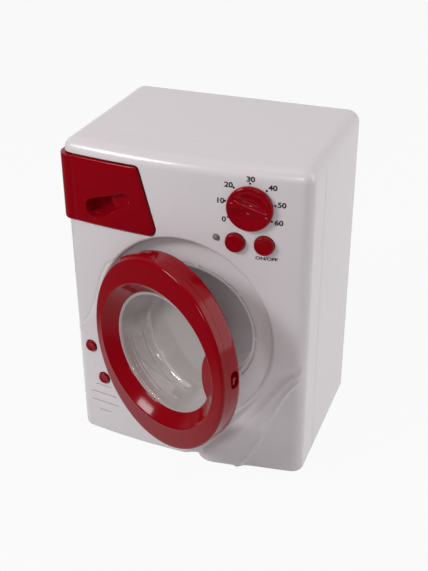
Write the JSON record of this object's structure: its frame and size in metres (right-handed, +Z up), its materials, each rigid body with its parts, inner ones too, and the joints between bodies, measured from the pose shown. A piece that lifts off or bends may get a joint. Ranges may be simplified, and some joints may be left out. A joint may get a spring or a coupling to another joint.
{
  "type": "toy washing machine",
  "caption": "Front-loading toy washing machine with swinging bowl door, geared drum, detergent drawer, timer knob, push buttons and battery bay.",
  "frame": {"origin": "centre of the casing's base, on the surface it stands on", "axes": "+Z up, the door and controls face -Y, +X to the viewer's right"},
  "size_m": [0.1795, 0.1938, 0.24],
  "materials": {
    "white_shell": "glossy white moulded plastic",
    "white_inner": "white moulded plastic",
    "red_plastic": "glossy deep red moulded plastic",
    "clear_window": "clear moulded plastic",
    "drum_plastic": "pale grey moulded plastic",
    "gear_plastic": "natural gear plastic",
    "steel": "plain steel wire and screws",
    "brass": "plain brass",
    "motor_can": "bright metal can",
    "board": "green circuit board",
    "black_plastic": "black moulded plastic",
    "cells": "wrapped battery cell"
  },
  "bodies": {
    "casing": {"front_shell": "white_shell", "rear_shell": "white_shell", "drawer_guide": "white_inner", "gear_plate_front": "white_inner", "gear_plate_rear": "white_inner", "drum_bush": "brass", "idler_pin": "steel", "motor": "motor_can", "circuit_board": "board", "board_switches": "black_plastic", "timer_unit": "black_plastic", "lamp": "clear_window", "speaker": "black_plastic", "side_board": "board", "battery_contacts": "steel", "battery_cells": "cells", "shell_screws": "steel", "gearbox_screws": "steel", "board_screws": "steel", "start_spring": "steel", "power_spring": "steel", "upper_spring": "steel", "lower_spring": "steel"},
    "door": {"door_front_ring": "red_plastic", "door_rear_ring": "red_plastic", "door_window": "clear_window", "latch_nib": "red_plastic", "door_screws": "steel", "hinge_pin": "steel"},
    "drum": {"drum": "drum_plastic", "drum_back": "drum_plastic", "drum_lifters": "drum_plastic", "drum_shaft": "steel", "drum_gear": "gear_plastic"},
    "idler": {"idler_gear": "gear_plastic"},
    "rotor": {"motor_pinion": "brass", "motor_shaft": "steel"},
    "drawer": {"drawer_front": "red_plastic", "drawer_tray": "white_inner"},
    "knob": {"timer_knob": "red_plastic", "timer_spindle": "white_inner"},
    "start_push": {"start_button": "red_plastic"},
    "power_push": {"power_button": "red_plastic"},
    "upper_push": {"upper_button": "red_plastic"},
    "lower_push": {"lower_button": "red_plastic"},
    "cover": {"battery_cover": "white_shell", "battery_cover_screw": "steel"}
  },
  "joints": [
    {"name": "door_hinge", "type": "hinge", "parent": "casing", "child": "door", "pos_m": [-0.0611, -0.07125, 0.1075], "axis": [0, 0, -1], "range_deg": [-22.6, 80]},
    {"name": "drum_spin", "type": "hinge", "parent": "casing", "child": "drum", "pos_m": [0, 0, 0.1075], "axis": [0, 1, 0], "continuous": true},
    {"name": "idler_spin", "type": "hinge", "parent": "casing", "child": "idler", "pos_m": [0.018, 0.026, 0.13868], "axis": [0, 1, 0], "continuous": true},
    {"name": "rotor_spin", "type": "hinge", "parent": "casing", "child": "rotor", "pos_m": [0.018, 0.03, 0.15968], "axis": [0, 1, 0], "continuous": true},
    {"name": "drawer_slide", "type": "slide", "parent": "casing", "child": "drawer", "axis": [0, -1, 0], "range_m": [0, 0.036]},
    {"name": "knob_turn", "type": "hinge", "parent": "casing", "child": "knob", "pos_m": [0.049, -0.06581, 0.212], "axis": [0.0994, -0.995, 0], "range_deg": [-11, 229]},
    {"name": "start_press", "type": "slide", "parent": "casing", "child": "start_push", "axis": [0, 1, 0], "range_m": [0, 0.002], "stiffness_N_per_m": 150, "springref_m": -0.003, "deforming": ["start_spring"]},
    {"name": "power_press", "type": "slide", "parent": "casing", "child": "power_push", "axis": [0, 1, 0], "range_m": [0, 0.002], "stiffness_N_per_m": 150, "springref_m": -0.003, "deforming": ["power_spring"]},
    {"name": "upper_press", "type": "slide", "parent": "casing", "child": "upper_push", "axis": [0, 1, 0], "range_m": [0, 0.0012], "stiffness_N_per_m": 100, "springref_m": -0.003, "deforming": ["upper_spring"]},
    {"name": "lower_press", "type": "slide", "parent": "casing", "child": "lower_push", "axis": [0, 1, 0], "range_m": [0, 0.0012], "stiffness_N_per_m": 100, "springref_m": -0.003, "deforming": ["lower_spring"]},
    {"name": "cover_slide", "type": "slide", "parent": "casing", "child": "cover", "axis": [0, 1, 0], "range_m": [0, 0.02]}
  ],
  "couplings": [
    {"joint": "idler_spin", "follows": "drum_spin", "ratio": -3.5},
    {"joint": "rotor_spin", "follows": "drum_spin", "ratio": 11.5}
  ]
}
